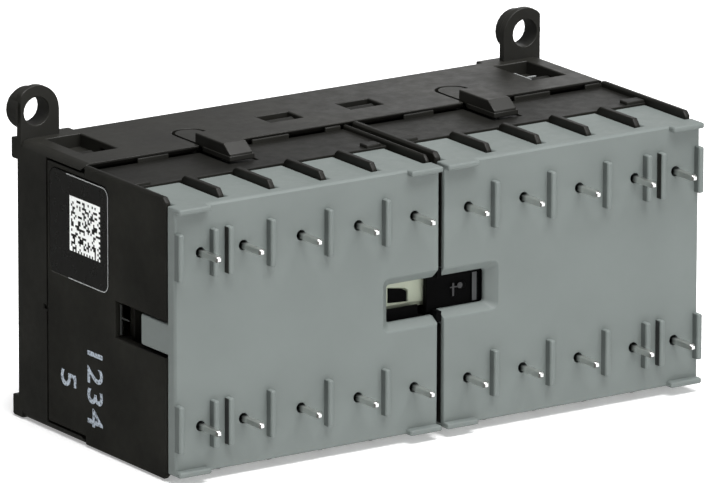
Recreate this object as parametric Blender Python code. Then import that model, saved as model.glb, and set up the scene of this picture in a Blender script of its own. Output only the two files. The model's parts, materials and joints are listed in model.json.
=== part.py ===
"""Reversing pair of small contactors on one rail base, with solder pins on the front.

Lengths are in millimetres until mesh vertices are made.  The rail seat on the back of
the base is the plane y = 0, the front looks towards -y, and z is up.  Distances called
"behind" are measured from the front face of the covers, towards the back.  The two
contactors are mirror images about x = 0, so side is -1 on the left and +1 on the right.
"""

import math

import bmesh
import bpy
from mathutils import Vector

MM = 0.001
SIDES = {-1: "left", 1: "right"}
ENDS = {1: "top", -1: "bottom"}

# Whole unit
DEPTH = 42.4
HALF_WIDTH = 45.75
HALF_GAP = 0.46
HALF_HEIGHT = 21.0
EDGE_RADIUS = 1.2
GAP = 0.3
UNIT_CENTRE = (HALF_WIDTH + HALF_GAP) / 2

# Front cover
COVER_HALF_HEIGHT = 19.85
COVER_WALL = 1.2
COVER_STRIP = 2.1
SKIRT_END = 12.3
SKIRT_INNER = 1.8
SKIRT_OUTER = 44.55
STANDOFF_RISE = 1.24
STANDOFF_WIDTH = 0.87
STANDOFF_Z = (9.2, 16.2)
STANDOFF_CENTRES = (9.5, 19.4, 29.3, 36.45, 39.0)
STANDOFF_SHIFT = -0.38
LIP_LENGTH = 5.5
LIP_THICKNESS = 0.85
TONGUE_END = 9.05
TONGUE_Z = (-2.2, 2.4)
WINDOW_OUTER = (10.1, 4.1)
WINDOW_INNER = (8.5, 2.7)
WINDOW_BOTTOM = {-1: -4.0, 1: -3.3}
WINDOW_SILL = 1.0
WINDOW_DEPTH = 2.0

# Terminals
POLES = (4.69, 14.42, 24.26, 34.12)
COIL_PIN = 41.43
PIN_Z = 12.85
PIN_WIDTH = 0.9
PIN_LENGTH = 5.0
PIN_HOLE_RADIUS = 0.76

# Housing
HOUSING_FRONT = 2.4
HOUSING_END = 34.2
HOUSING_HALF_HEIGHT = 18.35
HOUSING_TOP = 20.05
WALL_TOP = 20.9
GAP_WALL_TOP = {-1: 20.7, 1: 20.95}
OUTER_WALL = 0.9
INNER_WALL = {-1: 0.6, 1: 1.0}
CAVITY_INNER = 1.9
CAVITY_OUTER = 44.3
CAVITY_HALF_HEIGHT = 17.2
PARTITION = (14.6, 15.8)
UNDER_FLANGE = 19.6
BARRIER_RIBS = (10.0, 18.8, 27.6, 36.3)
RIB_WIDTH = 0.9
SIDE_WINDOW_END = 15.95
SIDE_WINDOW_Z = (-2.8, 2.6)
LEDGES = ((-13.7, -8.4), (6.0, 12.4), (18.7, 21.4))
LEDGE_TOP = 20.75
CATCH_TOP = 20.7
HOUSING_CATCHES = ((2.0, 4.5), (41.6, 44.8))
HOUSING_CATCH_TOP = 20.5

# Side label
LABEL_OUTLINE = ((17.6 - DEPTH, 33.6 - DEPTH), (3.7, 19.0))
LABEL_CORNER = 1.6

# Base
BASE_FRONT = 34.5
FLANGE_FRONT = 24.4
FLANGE_BOTTOM = 19.9
FLANGE_LIP = 0.3
FLANGE_UNDERCUT = 0.9
BASE_WALL = 3.0
BASE_ROOM = (1.2, 44.2)
BASE_ROOM_HALF_HEIGHT = 18.5
BACK_POCKETS_X = ((10.0, 25.2), (27.2, 42.4))
BACK_POCKETS_Z = ((-15.0, -5.6), (-4.6, 4.6), (5.6, 15.0))
BACK_POCKET_DEPTH = 1.0
SEAM_NOTCH_Z = (-3.0, -2.3)
LUG_X = 43.03
LUG_Z = 24.9
LUG_RADIUS = 3.85
LUG_HOLE_RADIUS = 2.15
LUG_THICKNESS = 1.1
BOSS_RADIUS = 3.2
FOOT_DEPTH = 2.2
FOOT_START = 17.8
FOOT_X = 36.0
HOOK_OFFSET = (-2.45, 1.45)
HOOK_REAR = 26.0
HOOK_BEND = 18.6
HOOK_FRONT = 16.7
HOOK_TOP = 22.55
HOOK_UNDER = 20.7
SLIT_RADIUS = 2.45
SLIT_CENTRE = 31.2
SLIT_WIDTH = 0.5
MID_WINDOW = (4.2, 9.9, 29.9, 34.1)
CORNER_WINDOW = (36.5, 42.4, 29.8, 39.9)

# Rail and its clip
RAIL_HOOK_GAP = 1.2
RAIL_HOOK_TIP = 16.3
RAIL_HOOK_X = (14.0, 26.0)
CLIP_HALF_WIDTH = 5.5
CLIP_WING = 7.0
CLIP_TOP = -9.0
CLIP_BOTTOM = -20.6
CHANNEL_TOP = -1.6
CHANNEL_DEPTH = 2.4

# Magnet and coil, measured from the middle of each contactor
CORE_HALF_HEIGHT = 4.5
CORE_LEG = (9.6, 12.6)
CORE_CENTRE_LEG = 2.8
CORE_FACE = 25.4
CORE_YOKE = (36.2, 39.0)
ARMATURE_YOKE = (17.6, 20.4)
ARMATURE_HALF_WIDTH = 14.0
ARMATURE_FACE = 22.3
BOBBIN = (26.0, 35.8)
BOBBIN_FLANGE = 1.0
BOBBIN_HALF_SIZE = (9.2, 12.5)
BOBBIN_TUBE = (4.1, 5.8)

# Contact carrier
CARRIER = (4.0, 10.2)
CARRIER_HALF_HEIGHT = 2.25
CARRIER_U = (2.2, 37.0)
CARRIER_WINDOW = (5.2, 8.6)
CARRIER_WINDOW_HALF = 1.6
CARRIER_REBATE_TOP = -1.4
CARRIER_REBATE_DEPTH = 0.7
FINGER_END = {-1: -0.2, 1: 1.0}
BRIDGE = (7.5, 8.3)
BRIDGE_HALF_LENGTH = 6.2
BRIDGE_HALF_WIDTH = 1.2
CONTACT_Z = 5.0
CONTACT_RADIUS = 1.1
CONTACT_THICKNESS = 0.5
CONTACT_GAP = 2.15

# Interlock between the two contactors
BRACKET = (2.6, 3.6)
BRACKET_RIDGE = 2.3
ARM_REACH = 0.8
ARM_Z = (2.55, 3.1)
ROCKER_BEHIND = 9.0
ROCKER_REACH = 1.7
ROCKER_PIN_RADIUS = 0.4

FINISHES = {
    "black_plastic": ((0.018, 0.018, 0.016), 0.5, 0.0),
    "grey_plastic": ((0.25, 0.28, 0.27), 0.5, 0.0),
    "ivory_plastic": ((0.55, 0.57, 0.43), 0.45, 0.0),
    "tinned_metal": ((0.75, 0.75, 0.73), 0.25, 1.0),
    "silver_copper": ((0.72, 0.50, 0.38), 0.3, 1.0),
    "core_steel": ((0.35, 0.35, 0.36), 0.4, 1.0),
    "spring_steel": ((0.55, 0.55, 0.56), 0.3, 1.0),
    "winding_copper": ((0.55, 0.20, 0.08), 0.35, 1.0),
    "label_film": ((0.01, 0.01, 0.01), 0.2, 0.0),
}


def behind(distance):
    """The y of a plane this far behind the front face of the covers."""
    return distance - DEPTH


def span(side, near, far):
    """An x range between two distances from the middle plane, on one side of it."""
    return tuple(sorted((side * near, side * far)))


def around(centre, half):
    return (centre - half, centre + half)


def end_span(end, near, far):
    """A z range between two heights, at the top (end 1) or the bottom (end -1)."""
    return tuple(sorted((end * near, end * far)))


# ---------------------------------------------------------------- meshes


def block(x, y, z):
    """A rectangular block from its three ranges."""
    bm = bmesh.new()
    bmesh.ops.create_cube(bm, size=2.0)
    for vert in bm.verts:
        corner = [pair[0] if co < 0 else pair[1] for pair, co in zip((x, y, z), vert.co)]
        vert.co = Vector(corner) * MM
    return bm


def place(axis, a, b, along):
    """A point from two outline coordinates and its position along the extrusion axis."""
    if axis == "x":
        return Vector((along, a, b)) * MM
    if axis == "y":
        return Vector((a, along, b)) * MM
    return Vector((a, b, along)) * MM


def loft(axis, outline_a, along_a, outline_b, along_b):
    """A solid between two outlines that have the same number of points."""
    bm = bmesh.new()
    first = [bm.verts.new(place(axis, a, b, along_a)) for a, b in outline_a]
    second = [bm.verts.new(place(axis, a, b, along_b)) for a, b in outline_b]
    bm.faces.new(first)
    bm.faces.new(second)
    for i in range(len(first)):
        j = (i + 1) % len(first)
        bm.faces.new((first[i], first[j], second[j], second[i]))
    bmesh.ops.recalc_face_normals(bm, faces=bm.faces)
    return bm


def prism(axis, outline, along):
    return loft(axis, outline, along[0], outline, along[1])


def arc(centre, radius, start, stop, steps):
    """Points on an arc, angles in degrees."""
    points = []
    for i in range(steps + 1):
        angle = math.radians(start + (stop - start) * i / steps)
        points.append((centre[0] + radius * math.cos(angle), centre[1] + radius * math.sin(angle)))
    return points


def circle(centre, radius, steps):
    return arc(centre, radius, 0, 360, steps)[:-1]


def rounded_rectangle(a, b, radius, steps=3):
    right_top, left_top = (a[1], b[1], 1, 1, 0), (a[0], b[1], -1, 1, 90)
    left_low, right_low = (a[0], b[0], -1, -1, 180), (a[1], b[0], 1, -1, 270)
    points = []
    for ca, cb, sa, sb, start in (right_top, left_top, left_low, right_low):
        points += arc((ca - sa * radius, cb - sb * radius), radius, start, start + 90, steps)
    return points


def rod(axis, centre, radius, along, steps=16):
    return prism(axis, circle(centre, radius, steps), along)


def helix(axis, centre, radius, wire, along, turns, steps=9, sides=5):
    """A round-wire spring with flat cut ends."""
    bm = bmesh.new()
    rings = []
    count = int(turns * steps)
    length = along[1] - along[0] - 2 * wire
    for i in range(count + 1):
        turn = 2 * math.pi * turns * i / count
        height = along[0] + wire + length * i / count
        ring = []
        for k in range(sides):
            angle = 2 * math.pi * k / sides
            reach = radius + wire * math.cos(angle)
            a = centre[0] + reach * math.cos(turn)
            b = centre[1] + reach * math.sin(turn)
            ring.append(bm.verts.new(place(axis, a, b, height + wire * math.sin(angle))))
        rings.append(ring)
    bm.faces.new(rings[0])
    bm.faces.new(rings[-1])
    for lower, upper in zip(rings, rings[1:]):
        for k in range(sides):
            j = (k + 1) % sides
            bm.faces.new((lower[k], lower[j], upper[j], upper[k]))
    bmesh.ops.recalc_face_normals(bm, faces=bm.faces)
    return bm


# ---------------------------------------------------------------- objects


def finish_material(name):
    material = bpy.data.materials.get(name)
    if material is None:
        colour, roughness, metallic = FINISHES[name]
        material = bpy.data.materials.new(name)
        material.use_nodes = True
        shader = material.node_tree.nodes["Principled BSDF"]
        shader.inputs["Base Color"].default_value = (*colour, 1.0)
        shader.inputs["Roughness"].default_value = roughness
        shader.inputs["Metallic"].default_value = metallic
    return material


def pivot(name, position):
    """An empty on a joint's axis or line of travel, the parent of what moves there."""
    empty = bpy.data.objects.new(name, None)
    empty.location = Vector(position) * MM
    bpy.context.scene.collection.objects.link(empty)
    return empty


def mesh_object(name, bm, origin):
    bmesh.ops.translate(bm, verts=bm.verts, vec=-origin)
    mesh = bpy.data.meshes.new(name)
    bm.to_mesh(mesh)
    bm.free()
    obj = bpy.data.objects.new(name, mesh)
    bpy.context.scene.collection.objects.link(obj)
    return obj


def part(name, bm, finish, parent):
    """One named sub-part, whose origin is its parent's place."""
    obj = mesh_object(name, bm, parent.location)
    obj.data.materials.append(finish_material(finish))
    obj.parent = parent
    return obj


def combine(obj, operation, tools):
    for i, bm in enumerate(tools):
        tool = mesh_object(f"{obj.name}_{operation.lower()}_{len(obj.modifiers)}_{i}", bm, Vector())
        tool.hide_render = True
        tool.display_type = "WIRE"
        boolean = obj.modifiers.new(operation.title(), "BOOLEAN")
        boolean.operation = operation
        boolean.object = tool


def add(obj, *tools):
    combine(obj, "UNION", tools)


def cut(obj, *tools):
    combine(obj, "DIFFERENCE", tools)


def smooth_round_faces(obj):
    obj.data.shade_smooth()
    obj.data.set_sharp_from_angle(angle=math.radians(35))


# ---------------------------------------------------------------- base and rail clip


def hook_x(side):
    """The x range of the spring hook on the top flange; it isn't mirrored."""
    return (side * UNIT_CENTRE + HOOK_OFFSET[0], side * UNIT_CENTRE + HOOK_OFFSET[1])


def slit_outline(side):
    """A slit along the left of the hook's tongue and round its rear end."""
    centre = (side * UNIT_CENTRE, behind(SLIT_CENTRE))
    outer, inner = SLIT_RADIUS + SLIT_WIDTH / 2, SLIT_RADIUS - SLIT_WIDTH / 2
    front = behind(FLANGE_FRONT) - 1
    outline = [(centre[0] - inner, front), (centre[0] - outer, front)]
    return outline + arc(centre, outer, 180, 0, 12) + arc(centre, inner, 0, 180, 12)


def flange_undercut(end):
    """Side view of the wedge that leaves a flange a thin front lip."""
    front = behind(FLANGE_FRONT)
    top, low = HALF_HEIGHT - FLANGE_LIP, FLANGE_BOTTOM - 0.1
    points = [(front - 1, top), (front, top), (front + FLANGE_UNDERCUT, low), (front - 1, low)]
    return [(y, end * z) for y, z in points]


def flange_windows(base, end):
    z = end_span(end, 19.0, 22.0)
    for side in SIDES:
        inner, outer, front, rear = MID_WINDOW
        cut(base, block(span(side, inner, outer), (behind(front), behind(rear)), z))
        if end > 0:
            inner, outer, front, rear = CORNER_WINDOW
            cut(base, block(span(side, inner, outer), (behind(front), behind(rear)), z))


def spring_hook(side):
    """A raised finger of the top flange that reaches over the housing, and its beak."""
    outline = [
        (behind(HOOK_REAR), HOOK_UNDER), (behind(HOOK_REAR), HOOK_TOP), (behind(HOOK_BEND), HOOK_TOP),
        (behind(HOOK_FRONT), HALF_HEIGHT + 0.25), (behind(HOOK_FRONT), HOOK_UNDER),
    ]
    left, right = hook_x(side)
    beak_z = (COVER_HALF_HEIGHT + GAP, HALF_HEIGHT - 0.05)
    beak_y = (behind(HOOK_FRONT - 0.1), behind(HOOK_FRONT + 1.7))
    beak = block((left - 0.15, right + 0.35), beak_y, beak_z)
    foot = block((left - 0.15, left + 0.6), (beak_y[1] - 0.1, behind(FLANGE_FRONT - 0.6)), beak_z)
    return prism("x", outline, (left, right)), beak, foot


def screw_lug(side):
    """A lug with its truncated round head, from the base's top edge upwards."""
    reach = HALF_WIDTH - LUG_X
    start = math.degrees(math.acos(reach / LUG_RADIUS))
    root = HALF_HEIGHT - 1.5
    outline = [(side * (LUG_X - LUG_RADIUS), root), (side * HALF_WIDTH, root)]
    for a, b in arc((0, LUG_Z), LUG_RADIUS, start, 180, 12):
        outline.append((side * (LUG_X + a), b))
    return prism("y", outline, (-LUG_THICKNESS, 0))


def base_hooks(body, side):
    """The screw lug, the spring hook and the rail hook of one half of the base."""
    cut(body, prism("z", slit_outline(side), (FLANGE_BOTTOM - 0.5, HALF_HEIGHT + 1)))
    add(body, *spring_hook(side))
    add(body, screw_lug(side))
    centre = (side * LUG_X, LUG_Z)
    add(body, rod("y", centre, BOSS_RADIUS, (-0.5, FOOT_DEPTH), 24))
    cut(body, rod("y", centre, LUG_HOLE_RADIUS, (-2, FOOT_DEPTH + 1), 20))
    rail_hook = [
        (-1, FOOT_START), (RAIL_HOOK_GAP, FOOT_START), (RAIL_HOOK_GAP, RAIL_HOOK_TIP),
        (FOOT_DEPTH, RAIL_HOOK_TIP + 0.4), (FOOT_DEPTH, HALF_HEIGHT - 0.6), (-1, HALF_HEIGHT - 0.2),
    ]
    add(body, prism("x", rail_hook, span(side, *RAIL_HOOK_X)))


def base(unit):
    """Back plate with a room behind each coil, and a flange along its top and bottom."""
    half_x, half_z = HALF_WIDTH, HALF_HEIGHT
    outline = rounded_rectangle((-half_x, half_x), (-half_z, half_z), EDGE_RADIUS)
    body = part("base", prism("y", outline, (behind(FLANGE_FRONT), 0)), "black_plastic", unit)
    between_y = (behind(FLANGE_FRONT) - 1, behind(BASE_FRONT))
    cut(body, block((-half_x - 1, half_x + 1), between_y, (-FLANGE_BOTTOM, FLANGE_BOTTOM)))
    for side in SIDES:
        room_z = (-BASE_ROOM_HALF_HEIGHT, BASE_ROOM_HALF_HEIGHT)
        cut(body, block(span(side, *BASE_ROOM), (behind(BASE_FRONT) - 1, -BASE_WALL), room_z))
        notch_x = span(side, half_x - 0.5, half_x + 1)
        cut(body, block(notch_x, (behind(BASE_FRONT) - 1, behind(BASE_FRONT + 0.8)), SEAM_NOTCH_Z))
    for end in ENDS:
        cut(body, prism("x", flange_undercut(end), (-half_x - 1, half_x + 1)))
        flange_windows(body, end)
        foot_z = end_span(end, FOOT_START, half_z)
        for side in SIDES:
            add(body, block(span(side, FOOT_X, half_x), (-1, FOOT_DEPTH), foot_z))
    for side in SIDES:
        base_hooks(body, side)
        for pocket_x in BACK_POCKETS_X:
            for pocket_z in BACK_POCKETS_Z:
                cut(body, block(span(side, *pocket_x), (-BACK_POCKET_DEPTH, 1), pocket_z))
    # channel for the rail clip, wide inside and narrow at the back face
    narrow, wide = CLIP_HALF_WIDTH + GAP, CLIP_WING + GAP
    cut(body, block((-wide, wide), (-CHANNEL_DEPTH, -0.6), (-half_z - 1, CHANNEL_TOP)))
    cut(body, block((-narrow, narrow), (-1.0, 1.0), (-half_z - 1, CLIP_TOP + 0.6)))
    return body


def rail_clip(slide):
    """Sliding catch that grips the lower edge of the rail."""
    body = part(
        "rail_clip",
        block((-CLIP_WING, CLIP_WING), (-CHANNEL_DEPTH + GAP, -0.9), (CLIP_BOTTOM, CLIP_TOP)),
        "black_plastic", slide)
    nose = [
        (-1.5, CLIP_BOTTOM), (FOOT_DEPTH, CLIP_BOTTOM), (FOOT_DEPTH, -17.0),
        (RAIL_HOOK_GAP + 0.5, -RAIL_HOOK_TIP), (RAIL_HOOK_GAP, -RAIL_HOOK_TIP),
        (RAIL_HOOK_GAP, -18.0), (0.0, -18.0), (-0.3, CLIP_TOP), (-1.5, CLIP_TOP),
    ]
    add(body, prism("x", nose, (-CLIP_HALF_WIDTH, CLIP_HALF_WIDTH)))
    # pocket for a screwdriver blade
    cut(body, block((-2.2, 2.2), (0.2, 1.2), (CLIP_BOTTOM - 1, CLIP_BOTTOM + 1.6)))
    return body


def rail_clip_spring(unit):
    middle = (0.0, -(CHANNEL_DEPTH + 0.6) / 2)
    along = (CLIP_TOP + 0.2, CHANNEL_TOP - 0.2)
    spring = helix("z", middle, 0.55, 0.15, along, turns=6, steps=8)
    return part("rail_clip_spring", spring, "spring_steel", unit)


# ---------------------------------------------------------------- contactor bodies


def rib_outline(end):
    """Side view of a barrier rib that stands above the top of the cover."""
    front, rear = behind(HOUSING_FRONT), behind(SKIRT_END)
    root, top = HOUSING_HALF_HEIGHT - 0.3, WALL_TOP
    points = [
        (front, root), (front, top - 1.0), (front + 0.8, top),
        (rear - 0.7, top), (rear, top - 0.55), (rear, root),
    ]
    return [(y, end * z) for y, z in points]


def wall_outline(top):
    """Side view of a side wall, whose ends step down under the flanges of the base."""
    front, step = behind(HOUSING_FRONT), behind(FLANGE_FRONT - GAP)
    upper = [(front, top - 0.8), (front + 0.8, top), (step, top), (step, 18.0)]
    return upper + [(y, -z) for y, z in reversed(upper)]


def housing_shell(side, unit):
    """Outer shape of one housing, without its ribs."""
    x = span(side, HALF_GAP + 0.04, HALF_WIDTH)
    y = (behind(HOUSING_FRONT), behind(HOUSING_END))
    body = part(
        SIDES[side] + "_housing",
        block(x, y, (-HOUSING_HALF_HEIGHT, HOUSING_HALF_HEIGHT)), "black_plastic", unit)
    for end in ENDS:
        root = HOUSING_HALF_HEIGHT - 0.5
        open_y = (behind(SKIRT_END + GAP), behind(FLANGE_FRONT - GAP))
        add(body, block(x, open_y, end_span(end, root, HOUSING_TOP)))
        under_y = (behind(FLANGE_FRONT - 1), behind(HOUSING_END))
        add(body, block(x, under_y, end_span(end, root, UNDER_FLANGE)))
    inner_x = span(side, HALF_GAP + 0.04, HALF_GAP + 0.04 + INNER_WALL[side])
    outer_x = span(side, HALF_WIDTH - OUTER_WALL, HALF_WIDTH)
    add(body, prism("x", wall_outline(GAP_WALL_TOP[side]), inner_x))
    add(body, prism("x", wall_outline(WALL_TOP), outer_x))
    # shallow recess under the beak of the spring hook
    left, right = hook_x(side)
    recess_y = (behind(HOOK_FRONT - 0.5), behind(FLANGE_FRONT))
    cut(body, block((left - 0.5, right + 0.7), recess_y, (COVER_HALF_HEIGHT - 0.05, HALF_HEIGHT)))
    return body


def housing_rooms(body, side):
    """The contact room at the front, the coil room at the back, and their partition."""
    x = span(side, CAVITY_INNER, CAVITY_OUTER)
    z = (-CAVITY_HALF_HEIGHT, CAVITY_HALF_HEIGHT)
    cut(body, block(x, (behind(HOUSING_FRONT) - 1, behind(PARTITION[0])), z))
    cut(body, block(x, (behind(PARTITION[1]), behind(HOUSING_END) + 1), z))
    passage_y = (behind(PARTITION[0]) - 1, behind(PARTITION[1]) + 1)
    cut(body, block(span(side, UNIT_CENTRE - 3.3, UNIT_CENTRE + 3.3), passage_y, (-2.8, 2.8)))
    for end in ENDS:
        strip = block(span(side, COIL_PIN - 0.8, COIL_PIN + 0.8), passage_y, end_span(end, 10.9, 14.8))
        cut(body, strip)


def housing_barriers(body, side):
    """Walls between the poles and the posts that carry the fixed contacts."""
    room_y = (behind(HOUSING_FRONT + 1.2), behind(PARTITION[0]) + 0.4)
    edges = [(a + b) / 2 for a, b in zip(POLES, POLES[1:] + (COIL_PIN,))]
    for end in ENDS:
        wall_z = end_span(end, 3.2, CAVITY_HALF_HEIGHT + 0.4)
        for u in edges:
            add(body, block(span(side, u - 0.4, u + 0.4), room_y, wall_z))
        for u in POLES:
            post_y = (behind(BRIDGE[1] + CONTACT_THICKNESS * 2 + CONTACT_GAP + 1.1), room_y[1])
            add(body, block(span(side, u - 1.5, u + 1.5), post_y, end_span(end, 8.0, 14.0)))


def window_catch(end, front, rear, top):
    """Side view of a catch whose top slopes down towards the front."""
    root = UNDER_FLANGE - 0.5
    points = [(front, root), (front, top - 0.45), (rear, top), (rear, root)]
    return [(y, end * z) for y, z in points]


def housing_catches(body, side):
    """What stands up through the windows and slots of the base's flanges."""
    root = COVER_HALF_HEIGHT - 0.5
    for end in ENDS:
        inner, outer, front, _ = MID_WINDOW
        outline = window_catch(end, behind(front + 0.5), behind(front + 2.5), CATCH_TOP)
        add(body, prism("x", outline, span(side, inner + 0.4, outer - 0.4)))
    inner, outer, front, _ = CORNER_WINDOW
    outline = window_catch(1, behind(front + GAP), behind(HOUSING_END - 0.2), CATCH_TOP - 0.6)
    add(body, prism("x", outline, span(side, inner + 2.0, outer - 0.4)))
    ledge_y = (behind(FLANGE_FRONT - GAP - 0.4), behind(FLANGE_FRONT - GAP))
    for left, right in LEDGES:
        ledge_x = (side * UNIT_CENTRE + left, side * UNIT_CENTRE + right)
        for end in ENDS:
            add(body, block(ledge_x, ledge_y, end_span(end, root, LEDGE_TOP)))
    catch_y = (behind(SKIRT_END + GAP + 0.1), behind(SKIRT_END + 2.4))
    for near, far in HOUSING_CATCHES:
        add(body, block(span(side, near, far), catch_y, (root, HOUSING_CATCH_TOP)))


def housing(side, unit):
    body = housing_shell(side, unit)
    for end in ENDS:
        for u in BARRIER_RIBS:
            add(body, prism("x", rib_outline(end), span(side, u - RIB_WIDTH / 2, u + RIB_WIDTH / 2)))
    housing_rooms(body, side)
    housing_barriers(body, side)
    housing_catches(body, side)
    # window for the cover's side tongue, and the opening for the interlock
    window_y = (behind(HOUSING_FRONT) - 1, behind(SIDE_WINDOW_END))
    cut(body, block(span(side, CAVITY_OUTER - 1, HALF_WIDTH + 1), window_y, SIDE_WINDOW_Z))
    passage_y = (behind(HOUSING_FRONT) - 1, behind(11.5))
    cut(body, block(span(side, HALF_GAP - 1, CAVITY_INNER + 1), passage_y, (-3.4, 3.4)))
    if side < 0:
        recess = rounded_rectangle(*LABEL_OUTLINE, LABEL_CORNER)
        cut(body, prism("x", recess, (-HALF_WIDTH - 1, -HALF_WIDTH + 0.45)))
    return body


def cover_shell(side, unit):
    """The tray of a cover: its face, the strips round it and the two skirts."""
    x = span(side, HALF_GAP, HALF_WIDTH)
    top = COVER_HALF_HEIGHT
    face = behind(0)
    body = part(
        SIDES[side] + "_front_cover",
        block(x, (face, behind(COVER_STRIP)), (-top, top)), "grey_plastic", unit)
    inside_x = span(side, HALF_GAP + 0.9, HALF_WIDTH - 0.9)
    inside_z = (-(top - COVER_WALL), top - COVER_WALL)
    cut(body, block(inside_x, (behind(COVER_WALL), behind(COVER_STRIP) + 1), inside_z))
    for end in ENDS:
        skirt_y = (behind(COVER_WALL - 0.4), behind(SKIRT_END))
        skirt_z = end_span(end, top - COVER_WALL, top)
        add(body, block(span(side, SKIRT_INNER, SKIRT_OUTER), skirt_y, skirt_z))
        slot_y = (behind(COVER_STRIP), behind(SKIRT_END) + 1)
        slot_z = end_span(end, top - COVER_WALL - 1, top + 1)
        half = RIB_WIDTH / 2 + GAP
        for u in BARRIER_RIBS:
            cut(body, block(span(side, u - half, u + half), slot_y, slot_z))
    tongue_x = span(side, HALF_WIDTH - 0.9, HALF_WIDTH)
    add(body, block(tongue_x, (behind(COVER_STRIP - 0.5), behind(TONGUE_END)), TONGUE_Z))
    return body


def cover_window(body, side):
    """Half of the bevelled window that both covers share."""
    outer_u, outer_hi = WINDOW_OUTER
    inner_u, inner_hi = WINDOW_INNER
    outer_lo = WINDOW_BOTTOM[side]
    inner_lo = outer_lo + WINDOW_SILL
    collar_x = span(side, HALF_GAP, outer_u + 1.0)
    collar_y = (behind(COVER_WALL - 0.4), behind(WINDOW_DEPTH))
    add(body, block(collar_x, collar_y, (outer_lo - 1.0, outer_hi + 1.0)))
    mouth = rounded_rectangle((-outer_u, outer_u), (outer_lo, outer_hi), 1.0)
    throat = rounded_rectangle((-inner_u, inner_u), (inner_lo, inner_hi), 0.5)
    cut(body, loft("y", mouth, behind(-0.001), throat, behind(WINDOW_DEPTH - 0.5)))
    cut(body, prism("y", throat, (behind(1.0), behind(WINDOW_DEPTH + 1))))


def cover_standoffs(body, side):
    """Raised bars, corner lips and edge tabs that a circuit board rests on."""
    y = (behind(-STANDOFF_RISE), behind(0.4))
    half = STANDOFF_WIDTH / 2
    top = COVER_HALF_HEIGHT
    lips = ((HALF_GAP, HALF_GAP + LIP_LENGTH), (HALF_WIDTH - LIP_LENGTH, HALF_WIDTH))
    for end in ENDS:
        bar_z = end_span(end, *STANDOFF_Z)
        for u in STANDOFF_CENTRES:
            add(body, block(around(side * u + STANDOFF_SHIFT, half), y, bar_z))
        add(body, block(span(side, HALF_WIDTH - STANDOFF_WIDTH, HALF_WIDTH), y, bar_z))
        for near, far in lips:
            add(body, block(span(side, near, far), y, end_span(end, top - LIP_THICKNESS, top)))


def front_cover(side, unit):
    body = cover_shell(side, unit)
    cover_window(body, side)
    cover_standoffs(body, side)
    for end in ENDS:
        for u in POLES + (COIL_PIN,):
            hole_y = (behind(-1), behind(COVER_WALL + 1))
            cut(body, rod("y", (side * u, end * PIN_Z), PIN_HOLE_RADIUS, hole_y, 14))
    return body


# ---------------------------------------------------------------- terminals


def solder_pin(x, end, rear):
    """A square pin with a chamfered tip, from its strip to in front of the cover."""
    half = PIN_WIDTH / 2
    z = end * PIN_Z
    shank = rounded_rectangle(around(x, half), around(z, half), 0.12, 1)
    tip = rounded_rectangle(around(x, half - 0.2), around(z, half - 0.2), 0.1, 1)
    front = behind(-PIN_LENGTH)
    return loft("y", tip, front, shank, front + 0.35), prism("y", shank, (front + 0.35, rear))


def pole_terminal(side, number, end, unit):
    """A solder pin on a flat strip that ends in a fixed contact."""
    u = POLES[number - 1]
    strip_front = behind(BRIDGE[1] + CONTACT_THICKNESS + CONTACT_GAP + CONTACT_THICKNESS)
    strip_y = (strip_front, strip_front + 0.8)
    strip_x = span(side, u - 1.3, u + 1.3)
    body = part(
        f"{SIDES[side]}_terminal_{number}_{ENDS[end]}",
        block(strip_x, strip_y, end_span(end, 3.6, PIN_Z + 1.2)), "tinned_metal", unit)
    tip, shank = solder_pin(side * u, end, strip_front + 0.4)
    add(body, shank, tip)
    contact_y = (strip_front - CONTACT_THICKNESS, strip_front + 0.2)
    add(body, rod("y", (side * u, end * CONTACT_Z), CONTACT_RADIUS, contact_y, 12))
    return body


def coil_terminal(side, end, unit):
    """A solder pin on a strip that runs back to the coil."""
    strip_x = span(side, COIL_PIN - 0.35, COIL_PIN + 0.35)
    body = part(
        f"{SIDES[side]}_coil_terminal_{ENDS[end]}",
        block(strip_x, (behind(7), behind(33)), end_span(end, 11.4, 14.3)),
        "tinned_metal", unit)
    tip, shank = solder_pin(side * COIL_PIN, end, behind(8))
    add(body, shank, tip)
    # leg that turns in towards the coil
    leg_x = span(side, UNIT_CENTRE + 9.8, COIL_PIN)
    add(body, block(leg_x, (behind(30.6), behind(33)), end_span(end, 12.0, 12.7)))
    return body


# ---------------------------------------------------------------- magnet


def core_leg(side, offset_near, offset_far, y):
    x = (side * UNIT_CENTRE + offset_near, side * UNIT_CENTRE + offset_far)
    return block(x, y, (-CORE_HALF_HEIGHT, CORE_HALF_HEIGHT))


def e_core(name, side, yoke, half_width, legs_y, parent):
    """A laminated E: a yoke with three legs on it."""
    body = part(name, core_leg(side, -half_width, half_width, yoke), "core_steel", parent)
    near, far = CORE_LEG
    for lo, hi in ((-far, -near), (-CORE_CENTRE_LEG, CORE_CENTRE_LEG), (near, far)):
        add(body, core_leg(side, lo, hi, legs_y))
    return body


def fixed_core(side, unit):
    legs_y = (behind(CORE_FACE), behind(CORE_YOKE[0] + 0.5))
    yoke = (behind(CORE_YOKE[0]), behind(CORE_YOKE[1]))
    return e_core(SIDES[side] + "_fixed_core", side, yoke, CORE_LEG[1], legs_y, unit)


def armature(side, slide):
    legs_y = (behind(ARMATURE_YOKE[1] - 0.5), behind(ARMATURE_FACE))
    yoke = (behind(ARMATURE_YOKE[0]), behind(ARMATURE_YOKE[1]))
    return e_core(SIDES[side] + "_armature", side, yoke, ARMATURE_HALF_WIDTH, legs_y, slide)


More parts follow.
